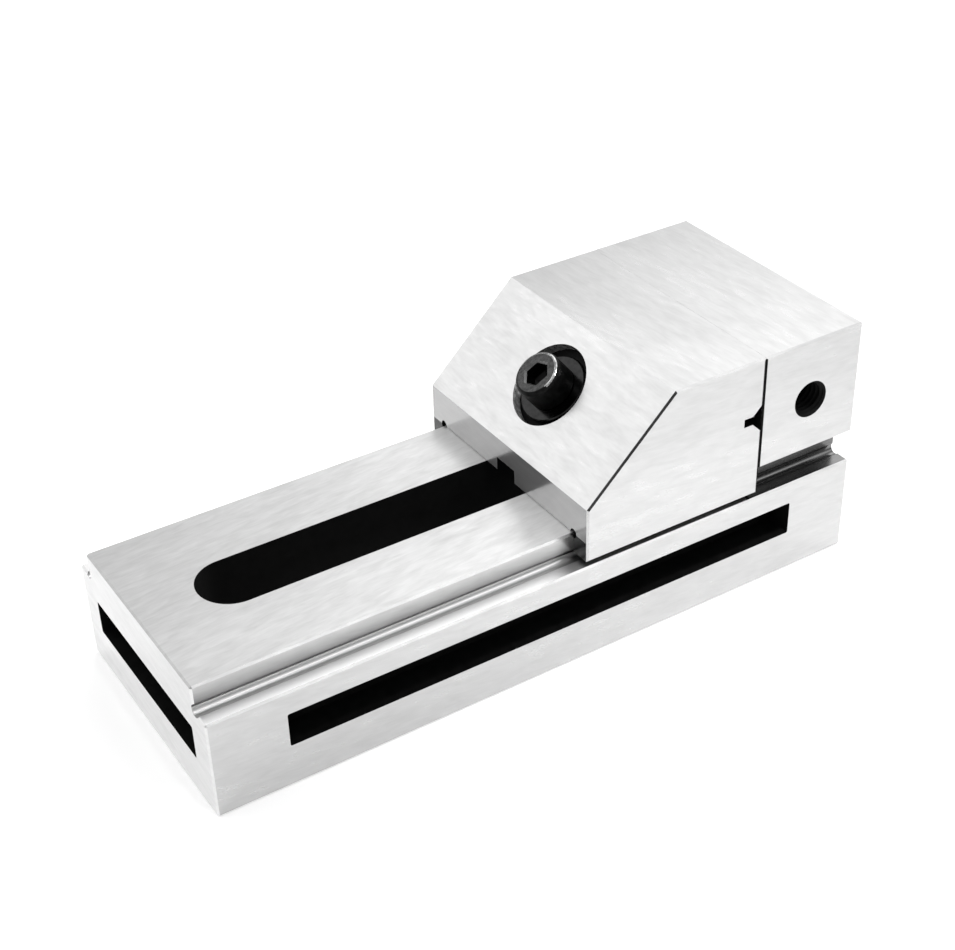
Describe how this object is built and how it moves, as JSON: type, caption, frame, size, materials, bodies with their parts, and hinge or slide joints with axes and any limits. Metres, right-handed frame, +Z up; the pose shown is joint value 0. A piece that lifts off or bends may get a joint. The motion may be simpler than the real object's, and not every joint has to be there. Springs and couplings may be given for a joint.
{
  "type": "precision grinding vise",
  "caption": "Low ground steel vise with a full-length rail, an integral fixed jaw and a sliding jaw that an inclined socket screw draws down and forward.",
  "frame": {"origin": "under the middle of the base, on the face it stands on", "axes": "+X along the vise towards the fixed jaw, +Z up, the work stop's tapped hole on the -Y side"},
  "size_m": [0.19, 0.073, 0.07],
  "materials": {
    "ground_steel": "hardened tool steel, finely surface ground, with recesses left black from hardening",
    "black_oxide_steel": "black oxide, satin",
    "bright_pin_steel": "centreless ground, bright"
  },
  "bodies": {
    "base": {"vise_base": "ground_steel"},
    "jaw": {"movable_jaw": "ground_steel", "spherical_washer": "black_oxide_steel"},
    "screw": {"clamp_screw": "black_oxide_steel"},
    "draw": {"draw_block": "black_oxide_steel", "cross_pin": "bright_pin_steel"}
  },
  "joints": [
    {"name": "jaw_slide", "type": "slide", "parent": "base", "child": "jaw", "axis": [-1, 0, 0], "range_m": [0, 0.1]},
    {"name": "draw_block_lift", "type": "slide", "parent": "jaw", "child": "draw", "axis": [-0.6276, 0, 0.7785], "range_m": [0, 0.00625]},
    {"name": "clamp_screw_turn", "type": "hinge", "parent": "jaw", "child": "screw", "pos_m": [0.02259, 0, 0.0581], "axis": [0.6276, 0, -0.7785], "range_deg": [0, 1800]}
  ],
  "couplings": [
    {"joint": "clamp_screw_turn", "follows": "draw_block_lift", "rad_per_m": 5026.5}
  ]
}
